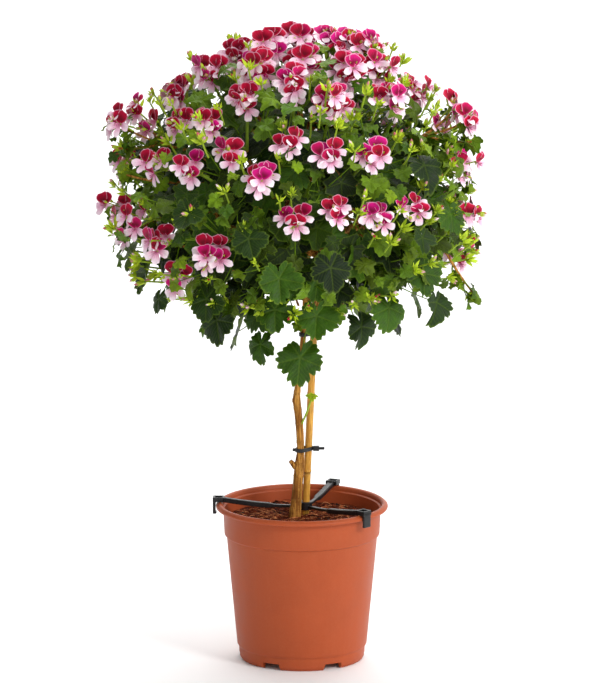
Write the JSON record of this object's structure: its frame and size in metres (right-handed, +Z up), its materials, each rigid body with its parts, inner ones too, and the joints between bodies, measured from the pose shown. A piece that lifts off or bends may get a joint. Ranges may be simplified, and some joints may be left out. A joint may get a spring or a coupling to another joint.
{
  "type": "potted regal geranium",
  "caption": "Geranium grown as a standard: a round crown of lobed leaves and two-tone flower heads on one bare trunk, tied to a cane, in a plastic nursery pot.",
  "frame": {"origin": "middle of the pot's flat base, on the surface that the pot stands on", "axes": "+Z up along the pot's axis; -Y towards the front that the picture shows; +X to the picture's right"},
  "size_m": [0.4726, 0.4266, 0.7808],
  "materials": {
    "pot_plastic": "satin terracotta plastic, slightly brighter at the lip",
    "potting_mix": "rough coir and bark fibre with bright strands",
    "black_plastic": "semi-gloss moulded plastic",
    "bamboo": "smooth yellow-tan cane with dark marks at the nodes",
    "trunk_bark": "fissured brown bark with pale ridges",
    "young_growth": "soft lime-green shoots and buds",
    "leaves": "matt green, slightly crinkled, paler veins and edges",
    "petals": "crimson upper petals with a pale edge, pale pink lower petals"
  },
  "bodies": {
    "root": {"pot": "pot_plastic", "soil": "potting_mix", "stake_holder": "black_plastic", "cane": "bamboo", "trunk": "trunk_bark", "side_shoot": "young_growth", "tie_lower": "black_plastic", "tie_upper": "black_plastic", "limb_right": "leaves", "limb_back_right": "leaves", "limb_back": "leaves", "limb_back_left": "leaves", "limb_left": "leaves", "limb_front_left": "leaves", "limb_front": "leaves", "limb_front_right": "leaves", "limb_top": "leaves", "umbel_01": "petals", "umbel_02": "petals", "umbel_03": "petals", "umbel_04": "petals", "umbel_05": "petals", "umbel_06": "petals", "umbel_07": "petals", "umbel_08": "petals", "umbel_09": "petals", "umbel_10": "petals", "umbel_11": "petals", "umbel_12": "petals", "umbel_13": "petals", "umbel_14": "petals", "umbel_15": "petals", "umbel_16": "petals", "umbel_17": "petals", "umbel_18": "petals", "umbel_19": "petals", "umbel_20": "petals", "umbel_21": "petals", "umbel_22": "petals", "umbel_23": "petals", "umbel_24": "petals", "umbel_25": "petals", "umbel_26": "petals", "umbel_27": "petals", "umbel_28": "petals", "umbel_29": "petals", "umbel_30": "petals", "umbel_31": "petals", "umbel_32": "petals", "umbel_33": "petals", "umbel_34": "petals", "umbel_35": "petals", "umbel_36": "petals", "umbel_37": "petals", "umbel_38": "petals", "umbel_39": "petals", "umbel_40": "petals", "umbel_41": "petals", "umbel_42": "petals", "umbel_43": "petals"}
  },
  "joints": []
}
